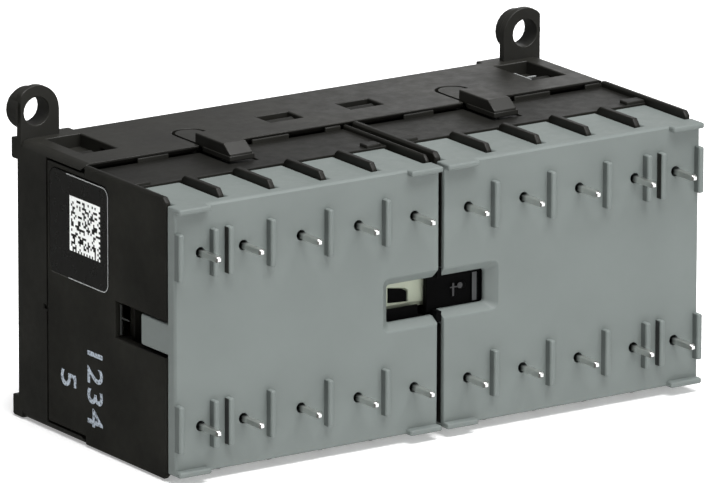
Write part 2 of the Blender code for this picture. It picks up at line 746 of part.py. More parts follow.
def coil_bobbin(side, unit):
    centre = side * UNIT_CENTRE
    half_x, half_z = BOBBIN_HALF_SIZE
    tube_x, tube_z = BOBBIN_TUBE
    y = (behind(BOBBIN[0]), behind(BOBBIN[1]))
    body = part(
        SIDES[side] + "_coil_bobbin",
        block(around(centre, tube_x), y, (-tube_z, tube_z)), "ivory_plastic", unit)
    for flange_y in ((y[0], y[0] + BOBBIN_FLANGE), (y[1] - BOBBIN_FLANGE, y[1])):
        plate = rounded_rectangle(around(centre, half_x), (-half_z, half_z), 1.5)
        add(body, prism("y", plate, flange_y))
    hole_x = CORE_CENTRE_LEG + GAP
    hole_z = CORE_HALF_HEIGHT + GAP
    cut(body, block(around(centre, hole_x), (y[0] - 1, y[1] + 1), (-hole_z, hole_z)))
    return body


def coil_winding(side, unit):
    centre = side * UNIT_CENTRE
    half_x, half_z = BOBBIN_HALF_SIZE
    tube_x, tube_z = BOBBIN_TUBE
    y = (behind(BOBBIN[0] + BOBBIN_FLANGE + GAP), behind(BOBBIN[1] - BOBBIN_FLANGE - GAP))
    outline = rounded_rectangle(around(centre, half_x - 0.4), (-half_z + 0.8, half_z - 0.8), 2.5)
    body = part(SIDES[side] + "_coil_winding", prism("y", outline, y), "winding_copper", unit)
    hole = rounded_rectangle(around(centre, tube_x + GAP), (-tube_z - GAP, tube_z + GAP), 0.3, 1)
    cut(body, prism("y", hole, (y[0] - 1, y[1] + 1)))
    return body


def return_spring(side, unit):
    along = (behind(ARMATURE_YOKE[1] + 0.2), behind(BOBBIN[0] - 0.2))
    coil = helix("y", (side * UNIT_CENTRE, 0.0), 6.1, 0.3, along, turns=4, steps=14)
    return part(SIDES[side] + "_return_spring", coil, "spring_steel", unit)


# ---------------------------------------------------------------- moving contacts


def contact_carrier(side, slide):
    """Plastic bar with a window for each bridge, and a neck that holds the armature."""
    z = (-CARRIER_HALF_HEIGHT, CARRIER_HALF_HEIGHT)
    body = part(
        SIDES[side] + "_contact_carrier",
        block(span(side, *CARRIER_U), (behind(CARRIER[0]), behind(CARRIER[1])), z),
        "ivory_plastic", slide)
    centre = side * UNIT_CENTRE
    add(body, block(around(centre, 2.8), (behind(CARRIER[1] - 1), behind(16.8)), z))
    rear_z = (-3.9, 3.9)
    rear_y = (behind(16.1), behind(ARMATURE_YOKE[0] - GAP))
    add(body, block(around(centre, 15.3), rear_y, rear_z))
    for turn in (-1, 1):
        clamp_x = tuple(sorted((centre + turn * (ARMATURE_HALF_WIDTH + GAP), centre + turn * 15.3)))
        clamp_y = (rear_y[0], behind(ARMATURE_YOKE[1] + 1.2))
        add(body, block(clamp_x, clamp_y, rear_z))
        lip_x = tuple(sorted((centre + turn * (CORE_LEG[1] + GAP), centre + turn * 15.3)))
        add(body, block(lip_x, (behind(ARMATURE_YOKE[1] + GAP), clamp_y[1]), rear_z))
    # finger that meets the interlock rocker
    finger_y = (behind(CARRIER[0]), behind(CARRIER[0] + 1.0))
    add(body, block(span(side, FINGER_END[side], CARRIER_U[0] + 0.5), finger_y, z))
    window_y = (behind(CARRIER_WINDOW[0]), behind(CARRIER_WINDOW[1]))
    for u in POLES:
        window_x = span(side, u - CARRIER_WINDOW_HALF, u + CARRIER_WINDOW_HALF)
        cut(body, block(window_x, window_y, (z[0] - 1, z[1] + 1)))
    # rebate along the lower edge, and a pocket in the face that shows in the front window
    rebate_y = (finger_y[0] - 1, finger_y[0] + CARRIER_REBATE_DEPTH)
    cut(body, block(span(side, -1, CARRIER_U[1] + 1), rebate_y, (z[0] - 1, CARRIER_REBATE_TOP)))
    pocket = [(3.1, -1.1), (3.1, 0.6), (3.8, 1.0), (6.6, 1.4), (6.6, -0.9)]
    cut(body, prism("y", [(side * u, height) for u, height in pocket], rebate_y))
    return body


def contact_bridge(side, number, slide):
    u = POLES[number - 1]
    x = around(side * u, BRIDGE_HALF_WIDTH)
    y = (behind(BRIDGE[0]), behind(BRIDGE[1]))
    strip = block(x, y, (-BRIDGE_HALF_LENGTH, BRIDGE_HALF_LENGTH))
    body = part(f"{SIDES[side]}_contact_bridge_{number}", strip, "silver_copper", slide)
    for end in ENDS:
        contact_y = (y[1] - 0.2, y[1] + CONTACT_THICKNESS)
        add(body, rod("y", (side * u, end * CONTACT_Z), CONTACT_RADIUS, contact_y, 12))
    return body


def contact_spring(side, number, slide):
    u = POLES[number - 1]
    along = (behind(CARRIER_WINDOW[0] + 0.15), behind(BRIDGE[0] - 0.15))
    coil = helix("y", (side * u, 0.0), 0.95, 0.14, along, turns=3, steps=8)
    return part(f"{SIDES[side]}_contact_spring_{number}", coil, "spring_steel", slide)


# ---------------------------------------------------------------- interlock


def interlock_housing(unit):
    """Black bracket between the contactors, seen through the front window."""
    front, rear = behind(BRACKET[0]), behind(BRACKET[1])
    body = part(
        "interlock_housing",
        block((-ARM_REACH, 9.2), (front, rear), (-2.9, ARM_Z[1])), "black_plastic", unit)
    pin_hole = ROCKER_PIN_RADIUS + 0.1
    for end in ENDS:
        arm_y = (front + 0.4, behind(ROCKER_BEHIND + 1.2))
        add(body, block((-ARM_REACH, ARM_REACH), arm_y, end_span(end, *ARM_Z)))
        cut(body, rod("z", (0.0, behind(ROCKER_BEHIND)), pin_hole, end_span(end, 2.0, 4.0), 10))
    # ridge, stub and boss on the face
    raised_y = (behind(BRACKET_RIDGE), front + 0.3)
    add(body, block((7.1, 8.1), raised_y, (-2.2, 1.9)))
    add(body, block((3.6, 4.3), raised_y, (-1.2, 0.5)))
    add(body, rod("y", (5.3, 0.5), 0.55, raised_y, 12))
    return body


def interlock_rocker(hinge):
    y = behind(ROCKER_BEHIND)
    body = part(
        "interlock_rocker",
        block((-ROCKER_REACH, ROCKER_REACH), (y - 0.4, y + 0.4), (-2.2, 2.2)), "ivory_plastic", hinge)
    add(body, rod("z", (0.0, y), 0.85, (-2.2, 2.2), 14))
    cut(body, rod("z", (0.0, y), ROCKER_PIN_RADIUS + 0.1, (-3.0, 3.0), 10))
    return body


def interlock_pin(unit):
    pin = rod("z", (0.0, behind(ROCKER_BEHIND)), ROCKER_PIN_RADIUS, (-3.1, 3.1), 10)
    return part("interlock_pin", pin, "spring_steel", unit)


# ---------------------------------------------------------------- side label


def side_label(unit):
    (near, far), (low, high) = LABEL_OUTLINE
    inset = 0.25
    y, z = (near + inset, far - inset), (low + inset, high - inset)
    outline = rounded_rectangle(y, z, LABEL_CORNER - inset)
    film = prism("x", outline, (-HALF_WIDTH - 0.02, -HALF_WIDTH + 0.2))
    return part("side_label", film, "label_film", unit)


# ---------------------------------------------------------------- assembly


def contactor(side, unit):
    housing(side, unit)
    front_cover(side, unit)
    for end in ENDS:
        coil_terminal(side, end, unit)
        for number in range(1, len(POLES) + 1):
            pole_terminal(side, number, end, unit)
    fixed_core(side, unit)
    coil_bobbin(side, unit)
    coil_winding(side, unit)
    return_spring(side, unit)
    name = SIDES[side]
    travel = pivot(name + "_carrier_travel", (side * UNIT_CENTRE, behind(CARRIER[0]), 0.0))
    contact_carrier(side, travel)
    armature(side, travel)
    for number in range(1, len(POLES) + 1):
        contact_spring(side, number, travel)
        contact_bridge(side, number, travel)


def build():
    for obj in list(bpy.data.objects):
        bpy.data.objects.remove(obj)
    unit = pivot("unit", (0.0, 0.0, 0.0))
    base(unit)
    rail_clip(pivot("rail_clip_travel", (0.0, 0.0, CLIP_TOP)))
    rail_clip_spring(unit)
    for side in SIDES:
        contactor(side, unit)
    interlock_housing(unit)
    interlock_rocker(pivot("interlock_hinge", (0.0, behind(ROCKER_BEHIND), 0.0)))
    interlock_pin(unit)
    side_label(unit)
    for obj in bpy.data.objects:
        if obj.type == "MESH" and not obj.hide_render:
            smooth_round_faces(obj)


build()
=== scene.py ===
"""Looks of the reversing contactor pair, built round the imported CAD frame."""

import json
import math
import random

import bmesh
import bpy
from mathutils import Matrix, Quaternion, Vector
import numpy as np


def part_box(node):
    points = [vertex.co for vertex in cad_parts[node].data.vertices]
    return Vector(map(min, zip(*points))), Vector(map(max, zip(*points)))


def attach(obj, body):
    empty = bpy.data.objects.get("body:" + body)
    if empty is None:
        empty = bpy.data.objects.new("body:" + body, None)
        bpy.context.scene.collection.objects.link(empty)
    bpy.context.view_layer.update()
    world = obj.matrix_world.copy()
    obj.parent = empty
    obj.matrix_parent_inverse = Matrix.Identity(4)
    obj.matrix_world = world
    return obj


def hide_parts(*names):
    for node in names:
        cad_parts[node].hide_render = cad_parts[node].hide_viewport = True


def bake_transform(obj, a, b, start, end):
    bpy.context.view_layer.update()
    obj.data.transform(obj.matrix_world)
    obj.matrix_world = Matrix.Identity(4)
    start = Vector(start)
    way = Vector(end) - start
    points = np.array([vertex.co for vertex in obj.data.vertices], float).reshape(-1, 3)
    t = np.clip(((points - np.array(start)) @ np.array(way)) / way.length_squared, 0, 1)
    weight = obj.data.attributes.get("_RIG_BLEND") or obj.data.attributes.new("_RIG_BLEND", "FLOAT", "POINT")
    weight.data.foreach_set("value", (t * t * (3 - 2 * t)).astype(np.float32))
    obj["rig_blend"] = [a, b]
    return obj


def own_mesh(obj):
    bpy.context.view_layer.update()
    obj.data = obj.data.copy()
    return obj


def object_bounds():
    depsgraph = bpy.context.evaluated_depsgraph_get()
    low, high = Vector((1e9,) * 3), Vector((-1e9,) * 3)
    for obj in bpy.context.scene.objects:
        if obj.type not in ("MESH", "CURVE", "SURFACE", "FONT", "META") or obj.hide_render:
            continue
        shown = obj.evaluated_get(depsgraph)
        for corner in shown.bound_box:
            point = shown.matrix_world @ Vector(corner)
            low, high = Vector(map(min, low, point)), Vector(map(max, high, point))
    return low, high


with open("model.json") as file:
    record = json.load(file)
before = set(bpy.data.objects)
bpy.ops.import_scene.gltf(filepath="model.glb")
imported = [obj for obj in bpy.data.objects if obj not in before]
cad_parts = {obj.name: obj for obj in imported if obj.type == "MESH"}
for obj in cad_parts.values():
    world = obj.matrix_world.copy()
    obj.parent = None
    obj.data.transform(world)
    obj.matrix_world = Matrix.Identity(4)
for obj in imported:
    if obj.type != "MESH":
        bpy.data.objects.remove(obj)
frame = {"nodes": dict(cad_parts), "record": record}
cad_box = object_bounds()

MM = 0.001
SIDES = {-1: "left", 1: "right"}
ENDS = {1: "top", -1: "bottom"}

# Places in the frame, in millimetres: the covers' front is at y = -DEPTH, and WALL_X is the
# outer face of the left housing
DEPTH = 42.4
WALL_X = -45.75
HALF_GAP = 0.46
FLANGE_TOP = 21.0

# Camera: direction from the object to the camera, in degrees, and its aim from the box's centre
AZIMUTH = -33.69
ELEVATION = 15.16
ROLL = 0.14
DISTANCE = 1.5056
LENS = 516.2
AIM = Vector((8.95, 16.25, -5.065)) * MM

# Lights: azimuth and elevation in degrees, distance and size in metres, and power in watts
LIGHTS = {
    "top_light": (6, 70, 1.0, (0.9, 0.6), 16.6),
    "front_light": (6, 10, 0.8, (0.4, 0.4), 1.5),
    "back_light": (126, 22, 0.3, (0.2, 0.12), 0.075),
}
BELOW_HORIZON = (0.13, 0.13, 0.12, 1.0)
ABOVE_HORIZON = (0.22, 0.22, 0.22, 1.0)
HORIZON = (0.46, 0.60)
FLOOR_RADIUS = 6.0
FLOOR_DROP = 0.0002

# Angle above which a corner is rounded, and flatness that joins faces, in degrees, and the
# distance that joins points and the largest radius, in millimetres
ROUND_ANGLE = 38
FLAT_ANGLE = 0.5
WELD = 0.002
MAX_RADIUS = 1.0

# Share of the room on a face that a radius may take, alone or beside another radius
ALONE = 0.85
SHARED = 0.42

# Radii that a mould or tool leaves, by finish, on long and on short edges, in millimetres
EDGE_RADII = {
    "black_plastic": (0.32, 0.18), "grey_plastic": (0.75, 0.28), "ivory_plastic": (0.25, 0.15),
    "tinned_metal": (0.12, 0.08), "silver_copper": (0.15, 0.1), "core_steel": (0.15, 0.1),
    "spring_steel": (0.05, 0.03), "winding_copper": (0.8, 0.5),
}
LONG_EDGE = 15.0

# Label on the left side and its cell pattern, as distances behind the front and heights
LABEL_Y, LABEL_Z, LABEL_CORNER = (17.6, 33.4), (3.1, 18.85), 1.5
FILM_X = (WALL_X - 0.05, WALL_X + 0.15)
PRINT_X = (WALL_X - 0.065, WALL_X - 0.04)
BORDER_INSETS = (0.06, 0.22)
BORDER_BOTTOM_END, BORDER_TOP_END, WORN_BORDER_END, WORN_BORDER_INSET = 28.4, 28.9, 33.0, 0.18
PATTERN_Y, PATTERN_Z, PATTERN_CELLS = (19.8, 28.0), (7.5, 15.7), 22
WHITE_SHARE = 0.56

# Digits on the left side: text, height of a digit, height of the text's top on the wall, and
# distance behind the front
DIGITS = {"digit_row": ("1234", 3.95, -5.3, 23.3), "digit_single": ("5", 4.0, -10.6, 30.5)}
CAP_SHARE = 0.69
INK_X = WALL_X - 0.03

# Standoff bars on the covers: half width, zone of heights, how thick the painted shade on their
# left is, and the centres of the two whose painted shade is darkest
BAR_HALF_WIDTH = 0.45
BAR_ZONE = (9, 17)
BAR_SHADE_THICKNESS = 0.045
DARK_BARS = (-36.83, 38.62)

# Base: y past which only the feet's rear edges lie, x past which the lugs and the bosses'
# outer ends lie, the bosses' heights there, and the height where a lug's side turns in
FOOT_END = 2.1
LUG_X, BOSS_X = 38.0, 45.6
BOSS_Z = (23.0, 27.8)
LUG_SHOULDER = 27.5
CREASE_WEIGHT, SHOULDER_WEIGHT = 0.1, 0.4

body_of_node = {
    node: body for body, nodes in frame["record"]["behaviour"]["bodies"].items() for node in nodes
}


def behind(distance):
    """The y of a plane this far behind the front face of the covers, in millimetres."""
    return distance - DEPTH


# ---------------------------------------------------------------- camera, floor and light


def direction(azimuth, elevation):
    """Unit vector from the object towards a camera or light; azimuth 0 is in front."""
    a, e = math.radians(azimuth), math.radians(elevation)
    return Vector((math.sin(a) * math.cos(e), -math.cos(a) * math.cos(e), math.sin(e)))


def make_camera():
    centre = (cad_box[0] + cad_box[1]) / 2
    back = direction(AZIMUTH, ELEVATION)
    data = bpy.data.cameras.new("camera")
    data.sensor_width = 36.0
    data.lens = LENS
    data.clip_start, data.clip_end = 0.05, 20.0
    camera = bpy.data.objects.new("camera", data)
    camera.location = centre + AIM + back * DISTANCE
    camera.rotation_mode = "QUATERNION"
    roll = Quaternion(Vector((0, 0, 1)), math.radians(ROLL))
    camera.rotation_quaternion = (-back).to_track_quat("-Z", "Y") @ roll
    bpy.context.scene.collection.objects.link(camera)
    bpy.context.scene.camera = camera


def area_light(name, azimuth, elevation, distance, size, power):
    data = bpy.data.lights.new(name, "AREA")
    data.shape = "RECTANGLE"
    data.size, data.size_y = size
    data.energy = power
    light = bpy.data.objects.new(name, data)
    towards = direction(azimuth, elevation)
    light.location = towards * distance
    light.rotation_mode = "QUATERNION"
    light.rotation_quaternion = towards.to_track_quat("Z", "Y")
    bpy.context.scene.collection.objects.link(light)


def make_world():
    """A dim room: dark below the horizon, brighter towards the ceiling."""
    world = bpy.data.worlds.new("studio")
    world.use_nodes = True
    tree = world.node_tree
    towards = tree.nodes.new("ShaderNodeTexCoord").outputs["Generated"]
    height = tree.nodes.new("ShaderNodeMapRange")
    height.inputs["From Min"].default_value = -1.0
    tree.links.new(one_axis(tree, towards, "Z"), height.inputs["Value"])
    shade = tree.nodes.new("ShaderNodeValToRGB")
    elements = shade.color_ramp.elements
    elements[0].position, elements[1].position = HORIZON
    elements[0].color, elements[1].color = BELOW_HORIZON, ABOVE_HORIZON
    tree.links.new(height.outputs["Result"], shade.inputs["Fac"])
    tree.links.new(shade.outputs["Color"], tree.nodes["Background"].inputs["Color"])
    bpy.context.scene.world = world


def make_studio():
    make_world()
    bpy.context.scene.view_settings.view_transform = "Standard"
    for name, settings in LIGHTS.items():
        area_light(name, *settings)
    bm = bmesh.new()
    bmesh.ops.create_circle(bm, cap_ends=True, radius=FLOOR_RADIUS, segments=64)
    floor = new_object("floor", bm)
    floor.location.z = cad_box[0].z - FLOOR_DROP
    floor.data.materials.append(floor_material())
    floor.visible_glossy = False


# ---------------------------------------------------------------- materials


def new_material(name):
    material = bpy.data.materials.new(name)
    material.use_nodes = True
    return material, material.node_tree, material.node_tree.nodes["Principled BSDF"]


def place_on_object(tree):
    """A point's place in the frame, in metres."""
    return tree.nodes.new("ShaderNodeTexCoord").outputs["Object"]


def one_axis(tree, vector, axis):
    parts = tree.nodes.new("ShaderNodeSeparateXYZ")
    tree.links.new(vector, parts.inputs[0])
    return parts.outputs[axis]


def noise(tree, scale, detail, roughness=0.5):
    """A noise over the object, its scale in cells for each metre."""
    texture = tree.nodes.new("ShaderNodeTexNoise")
    texture.inputs["Scale"].default_value = scale
    texture.inputs["Detail"].default_value = detail
    texture.inputs["Roughness"].default_value = roughness
    tree.links.new(place_on_object(tree), texture.inputs["Vector"])
    return texture.outputs["Fac"]


def ramp(tree, source, low, high, start=0.35, stop=0.65):
    """Colours or grey values spread over a noise's middle range."""
    node = tree.nodes.new("ShaderNodeValToRGB")
    first, last = node.color_ramp.elements
    first.position, last.position = start, stop
    first.color = (*low, 1.0) if isinstance(low, tuple) else (low, low, low, 1.0)
    last.color = (*high, 1.0) if isinstance(high, tuple) else (high, high, high, 1.0)
    tree.links.new(source, node.inputs["Fac"])
    return node.outputs["Color"]


def bump(tree, shader, source, depth):
    node = tree.nodes.new("ShaderNodeBump")
    node.inputs["Strength"].default_value = 1.0
    node.inputs["Distance"].default_value = depth
    tree.links.new(source, node.inputs["Height"])
    tree.links.new(node.outputs["Normal"], shader.inputs["Normal"])


def scaled(colour, factor):
    return tuple(c * factor for c in colour)


def moulded(name, colour, roughness, specular, mottle=0.06, grain=9000, depth=0.004):
    """Moulded plastic: faint flow marks, uneven gloss and a fine spark-eroded grain."""
    material, tree, shader = new_material(name)
    flow = noise(tree, 90, 4)
    tree.links.new(
        ramp(tree, flow, scaled(colour, 1 - mottle), scaled(colour, 1 + mottle)),
        shader.inputs["Base Color"])
    gloss = noise(tree, 500, 5, 0.6)
    tree.links.new(
        ramp(tree, gloss, roughness - 0.05, roughness + 0.05), shader.inputs["Roughness"])
    shader.inputs["Specular IOR Level"].default_value = specular
    bump(tree, shader, noise(tree, grain, 3), depth * MM)
    return material


def shade_colour(material, source, span, factors):
    """A material's colour, scaled from one factor to another as a value crosses a span."""
    tree = material.node_tree
    shader = tree.nodes["Principled BSDF"]
    colour = shader.inputs["Base Color"].links[0].from_socket
    share = tree.nodes.new("ShaderNodeMapRange")
    share.inputs["From Min"].default_value, share.inputs["From Max"].default_value = span
    share.inputs["To Min"].default_value, share.inputs["To Max"].default_value = factors
    tree.links.new(source, share.inputs["Value"])
    scale = tree.nodes.new("ShaderNodeVectorMath")
    scale.operation = "SCALE"
    tree.links.new(colour, scale.inputs[0])
    tree.links.new(share.outputs["Result"], scale.inputs["Scale"])
    tree.links.new(scale.outputs["Vector"], shader.inputs["Base Color"])
    return material


def metal(name, colour, roughness, grain=4000, depth=0.003, mottle=0.08, uneven=0.07):
    """Metal with uneven gloss and fine drawing or stamping marks."""
    material, tree, shader = new_material(name)
    shader.inputs["Metallic"].default_value = 1.0
    tone = noise(tree, 700, 4)
    tree.links.new(
        ramp(tree, tone, scaled(colour, 1 - mottle), scaled(colour, 1 + mottle)),
        shader.inputs["Base Color"])
    tree.links.new(
        ramp(tree, noise(tree, 1500, 4), roughness - uneven, roughness + uneven),
        shader.inputs["Roughness"])
    bump(tree, shader, noise(tree, grain, 2), depth * MM)
    return material


def housing_material():
    """Black plastic, with painted shade on the faces that look up: they are darker than the upright sides.
    """
    material = moulded("housing_black_painted_shade", (0.0135, 0.0132, 0.0106), 0.5, 0.26, mottle=0.25)
    tree = material.node_tree
    normal = tree.nodes.new("ShaderNodeNewGeometry").outputs["Normal"]
    upward = one_axis(tree, normal, "Z")
    # Painted shade: the colour falls to half on faces that look up.
    return shade_colour(material, upward, span=(0.3, 0.9), factors=(1.0, 0.5))


def pin_material():
    """Tinned metal, with painted shade on the pins inside the covers' holes, fading out where the pins stand
    clear of the covers.
    """
    material = metal(
        "tinned_metal", (0.76, 0.76, 0.74), 0.3, depth=0.0004, mottle=0.03, uneven=0.02)
    tree = material.node_tree
    y = one_axis(tree, place_on_object(tree), "Y")
    span = (behind(-0.1) * MM, behind(-1.3) * MM)
    # Painted shade: the colour drops to 6% inside the holes and comes back to full between 0.1 and 1.3 mm in
    # front of the covers.
    return shade_colour(material, y, span, factors=(0.06, 1.0))


def floor_material():
    material, tree, shader = new_material("floor_paper")
    tree.links.new(ramp(tree, noise(tree, 3, 3), 0.94, 0.96), shader.inputs["Base Color"])
    shader.inputs["Roughness"].default_value = 0.95
    shader.inputs["Specular IOR Level"].default_value = 0.0
    shader.inputs["Emission Color"].default_value = (1.0, 1.0, 1.0, 1.0)
    shader.inputs["Emission Strength"].default_value = 0.3
    return material


def ink_material():
    """White ink-jet print, uneven where the droplets miss."""
    material, tree, shader = new_material("ink")
    tree.links.new(
        ramp(tree, noise(tree, 2600, 2, 0.7), (0.05, 0.053, 0.06), (0.40, 0.46, 0.53), 0.34, 0.52),
        shader.inputs["Base Color"])
    tree.links.new(ramp(tree, noise(tree, 900, 2), 0.5, 0.65), shader.inputs["Roughness"])
    return material


def winding_material():
    """Enamelled copper wire, its turns as fine ridges."""
    material, tree, shader = new_material("winding_copper")
    turns = tree.nodes.new("ShaderNodeTexWave")
    turns.bands_direction = "Y"
    turns.inputs["Scale"].default_value = 1700
    turns.inputs["Distortion"].default_value = 0.4
    tree.links.new(place_on_object(tree), turns.inputs["Vector"])
    tree.links.new(
        ramp(tree, turns.outputs["Fac"], (0.20, 0.05, 0.015), (0.60, 0.23, 0.09), 0.1, 0.9),
        shader.inputs["Base Color"])
    tree.links.new(ramp(tree, noise(tree, 800, 3), 0.25, 0.4), shader.inputs["Roughness"])
    shader.inputs["Metallic"].default_value = 1.0
    bump(tree, shader, turns.outputs["Fac"], 0.06 * MM)
    return material


def make_materials():
    """The record's finishes by slot name, then those of single pieces, prints, and painted shade and
    highlights.
    """
    found = {
        "black_plastic": moulded(
            "black_plastic", (0.0118, 0.0115, 0.0092), 0.46, 0.45, mottle=0.25),
        "grey_plastic": moulded("grey_plastic", (0.152, 0.173, 0.166), 0.55, 0.35, mottle=0.03),
        "ivory_plastic": moulded("ivory_plastic", (0.42, 0.46, 0.36), 0.42, 0.4, mottle=0.04),
        "tinned_metal": pin_material(),
        "silver_copper": metal("silver_copper", (0.72, 0.50, 0.38), 0.3),
        "core_steel": metal("core_steel", (0.35, 0.35, 0.36), 0.4),
        "spring_steel": metal("spring_steel", (0.55, 0.55, 0.56), 0.3),
        "winding_copper": winding_material(),
        "label_film": moulded(
            "label_film", (0.0075, 0.0075, 0.0075), 0.3, 0.4, grain=4000, depth=0.001),
        "housing_black_painted_shade": housing_material(),
        # Painted shade: a darker, almost sheenless copy of the black plastic for parts deep in the cover
        # window.
        "painted_shade_black": moulded(
            "painted_shade_black", (0.0022, 0.0022, 0.0024), 0.5, 0.06, mottle=0.2),
        # Painted shade on the bars' left sides; the darker grey is also painted light on the side window's
        # ribs.
        "painted_shade_and_light": moulded("painted_shade_and_light", (0.034, 0.036, 0.035), 0.6, 0.2),
        "painted_soft_shade": moulded("painted_soft_shade", (0.100, 0.114, 0.109), 0.6, 0.2, mottle=0.03),
        # Painted highlights for the marks and the strip on the interlock bracket.
        "painted_highlight_black": moulded("painted_highlight_black", (0.042, 0.042, 0.044), 0.45, 0.3, mottle=0.3),
        "painted_highlight_grey": moulded("painted_highlight_grey", (0.062, 0.064, 0.065), 0.45, 0.3, mottle=0.3),
        # Painted highlight: a light, non-metal white for the ends of the pins.
        "painted_tip_highlight": moulded("painted_tip_highlight", (0.74, 0.75, 0.74), 0.35, 0.5, mottle=0.04),
        "ink": ink_material(),
    }
    # The grey below is the label's printed border and also the painted glints round the corner window.
    for name, colour in (
            ("print_white", (0.92, 0.94, 0.92)), ("grey_print_and_painted_glint", (0.30, 0.31, 0.31)),
            ("print_worn", (0.045, 0.045, 0.04))):
        found[name] = moulded(name, colour, 0.5, 0.3, grain=3000, depth=0.001)
    return found


# ---------------------------------------------------------------- meshes


def new_object(name, bm):
    mesh = bpy.data.meshes.new(name)
    bm.to_mesh(mesh)
    bm.free()
    obj = bpy.data.objects.new(name, mesh)
    bpy.context.scene.collection.objects.link(obj)
    return obj


def node_mesh(node):
    """A CAD node's mesh with its flat faces joined up."""
    bm = bmesh.new()
    bm.from_mesh(frame["nodes"][node].data)
    bmesh.ops.remove_doubles(bm, verts=bm.verts, dist=WELD * MM)
    bmesh.ops.dissolve_limit(
        bm, angle_limit=math.radians(FLAT_ANGLE), verts=bm.verts, edges=bm.edges, delimit=set())
    return bm


def is_corner(edge):
    """Whether two faces meet in a convex corner sharp enough to be rounded."""
    if len(edge.link_faces) != 2 or not edge.is_convex:
        return False
    return edge.calc_face_angle() > math.radians(ROUND_ANGLE)


def room_for_radius(edge):
    """The largest radius on an edge that the rest of its two faces leaves room for."""
    room = MAX_RADIUS * MM
    start = edge.verts[0].co
    along = edge.verts[1].co - start
    length = along.length
    along.normalize()
    slack, nearest = 0.05 * MM, 0.02 * MM
    for face in edge.link_faces:
        for loop in face.loops:
            vert = loop.vert
            if vert in edge.verts:
                continue
            reach = vert.co - start
            ahead = reach.dot(along)
            across = (reach - along * ahead).length
            past_end = min(abs(ahead), abs(ahead - length))
            beside = -slack < ahead < length + slack or past_end < across
            joined = any(vert in other.verts for end in edge.verts for other in end.link_edges)
            if across < nearest or not (beside or joined):
                continue
            shared = is_corner(loop.edge) or is_corner(loop.link_loop_prev.edge)
            room = min(room, across * (SHARED if shared else ALONE))
    return room


def round_edges(bm, radii):
    """Bevel weights on the convex corners of a mesh, as far as there is room."""
    weights = bm.edges.layers.float.new("bevel_weight_edge")
    long_radius, short_radius = radii
    for edge in bm.edges:
        if is_corner(edge):
            wanted = long_radius if edge.calc_length() > LONG_EDGE * MM else short_radius
            radius = min(wanted * MM, room_for_radius(edge))
            edge[weights] = radius / (MAX_RADIUS * MM)


def finish_piece(obj, body, material):
    """Smooth shading, material and, unless it bends between two, body of a visible piece."""
    obj.data.shade_smooth()
    obj.data.set_sharp_from_angle(angle=math.radians(ROUND_ANGLE))
    obj.data.materials.append(material)
    if body:
        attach(obj, body)
    return obj


def add_rounding(obj):
    """Rounded edges with smooth shading, and hard shading across the edges left sharp."""
    bevel = obj.modifiers.new("rounding", "BEVEL")
    bevel.limit_method = "WEIGHT"
    bevel.width = MAX_RADIUS * MM
    bevel.segments = 3
    bevel.use_clamp_overlap = False
    bevel.miter_outer = "MITER_SHARP"
    split = obj.modifiers.new("crisp_corners", "EDGE_SPLIT")
    split.split_angle = math.radians(ROUND_ANGLE)
    weighted = obj.modifiers.new("weighted_normals", "WEIGHTED_NORMAL")
    weighted.keep_sharp = True


def folded_planes(obj, share=1.02, spare=0.02 * MM * MM):
    """Planes of the faces whose triangles cover more than their area, so that they are folded."""
    bpy.context.view_layer.update()
    rounded = obj.evaluated_get(bpy.context.evaluated_depsgraph_get())
    mesh = rounded.to_mesh()
    mesh.calc_loop_triangles()
    covered = [0.0] * len(mesh.polygons)
    for triangle in mesh.loop_triangles:
        covered[triangle.polygon_index] += triangle.area
    planes = [
        (face.normal.copy(), face.normal.dot(face.center)) for face in mesh.polygons
        if len(face.vertices) > 4 and covered[face.index] > share * face.area + spare]
    rounded.to_mesh_clear()
    return planes


def ease_rounding(obj, rounds=5, factor=0.6, parallel=0.999, same_plane=2e-5):
    """Smaller radii round a face for as long as the rounding folds it."""
    mesh = obj.data
    for _ in range(rounds):
        planes = folded_planes(obj)
        if not planes:
            return
        eased = set()
        for face in mesh.polygons:
            for normal, offset in planes:
                apart = abs(normal.dot(face.center) - offset)
                if normal.dot(face.normal) > parallel and apart < same_plane:
                    eased.update(mesh.loops[i].edge_index for i in face.loop_indices)
        weights = mesh.attributes["bevel_weight_edge"].data
        for i in eased:
            weights[i].value *= factor
        mesh.update()
        obj.update_tag()


def rounded_node(node, material, edit=None):
    """A CAD node with the small radii that its mould or tool leaves on its edges."""
    bm = node_mesh(node)
    slot = slots[node]
    round_edges(bm, EDGE_RADII[slot])
    if edit:
        edit(bm)
    obj = new_object(node + "_finished", bm)
    finish_piece(obj, body_of_node[node], material)
    add_rounding(obj)
    ease_rounding(obj)
    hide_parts(node)


def place(axis, a, b, along):
    """A point, in metres, from two outline coordinates and its place along an axis."""
    point = {"x": (along, a, b), "y": (a, along, b), "z": (a, b, along)}[axis]
    return Vector(point) * MM


def add_prism(bm, axis, outline, along):
    """A prism between two planes, from an outline in millimetres."""
    near, far = ([bm.verts.new(place(axis, a, b, d)) for a, b in outline] for d in along)
    faces = [bm.faces.new(near), bm.faces.new(far)]
    for i in range(len(near)):
        j = (i + 1) % len(near)
        faces.append(bm.faces.new((near[i], near[j], far[j], far[i])))
    bmesh.ops.recalc_face_normals(bm, faces=faces)


def box_outline(a, b):
    return [(a[0], b[0]), (a[1], b[0]), (a[1], b[1]), (a[0], b[1])]


def arc(centre, radius, start, stop, steps=8):
    """Points on an arc, angles in degrees."""
    points = []
    for i in range(steps + 1):
        angle = math.radians(start + (stop - start) * i / steps)
        points.append((centre[0] + radius * math.cos(angle), centre[1] + radius * math.sin(angle)))
    return points


def prisms(name, body, slot, axis, outlines, along, finish=None, replaced=None):
    """One visible piece from one or more outlines, in its slot's finish or one of its own."""
    bm = bmesh.new()
    for outline in outlines:
        add_prism(bm, axis, outline, along)
    piece = finish_piece(new_object(name, bm), body, materials[finish or slot])
    if replaced:
        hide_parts(replaced)
    return piece


